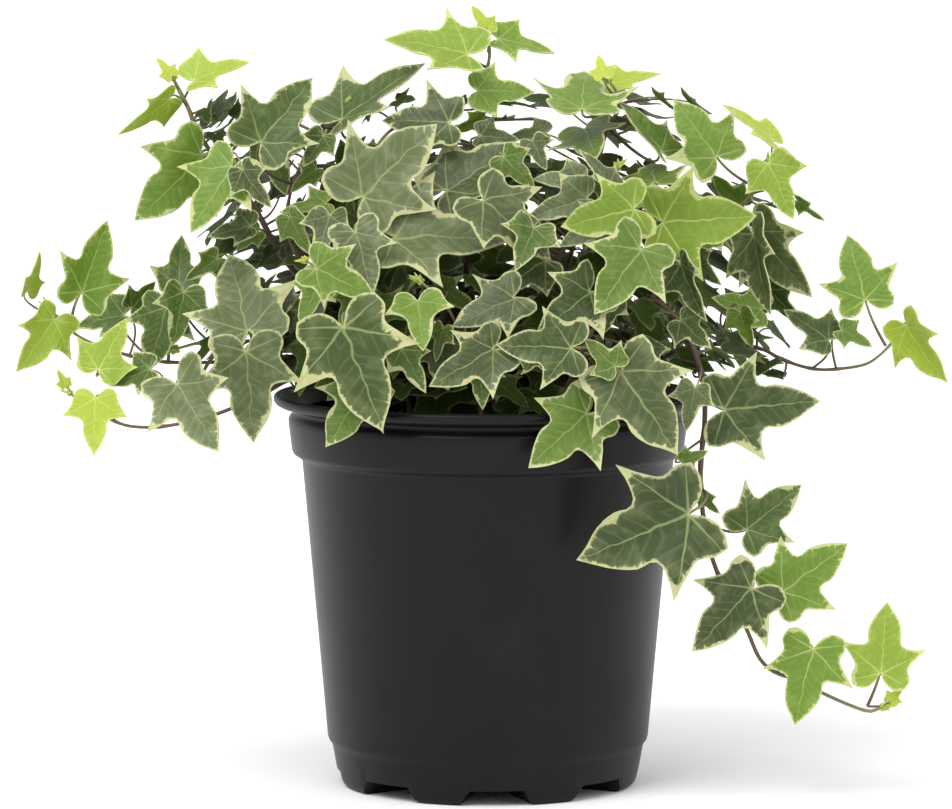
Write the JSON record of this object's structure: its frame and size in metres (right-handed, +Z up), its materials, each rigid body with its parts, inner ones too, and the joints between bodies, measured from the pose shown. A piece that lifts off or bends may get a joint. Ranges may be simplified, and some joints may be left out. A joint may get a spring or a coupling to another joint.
{
  "type": "potted glacier english ivy",
  "caption": "Variegated english ivy in a round black nursery pot: lobed cream-edged leaves on thin stems that make a loose mound and trail over the rim.",
  "frame": {"origin": "centre of the pot's foot, on the surface it stands on", "axes": "+Z up, -Y the side that the picture shows, +X to the right in the picture, where the long stem trails"},
  "size_m": [0.3556, 0.2397, 0.2998],
  "materials": {
    "pot_plastic": "satin black injection-moulded plastic",
    "peat": "damp crumbly peat",
    "ivy": "satin leaves with cream edges on brownish stems"
  },
  "bodies": {
    "root": {"pot": "pot_plastic", "soil": "peat", "vine_left_low": "ivy", "vine_left_mid": "ivy", "vine_left_grey": "ivy", "vine_left_tall": "ivy", "vine_left_twig": "ivy", "vine_centre_left": "ivy", "vine_top": "ivy", "vine_top_right": "ivy", "vine_centre_right": "ivy", "vine_right_up": "ivy", "vine_right_reach": "ivy", "vine_right_trail": "ivy", "vine_front_left": "ivy", "vine_front_middle": "ivy", "vine_front_right": "ivy", "vine_rear_left": "ivy", "vine_rear_right": "ivy", "vine_back_left": "ivy", "vine_back_middle": "ivy", "vine_back_right": "ivy"}
  },
  "joints": []
}
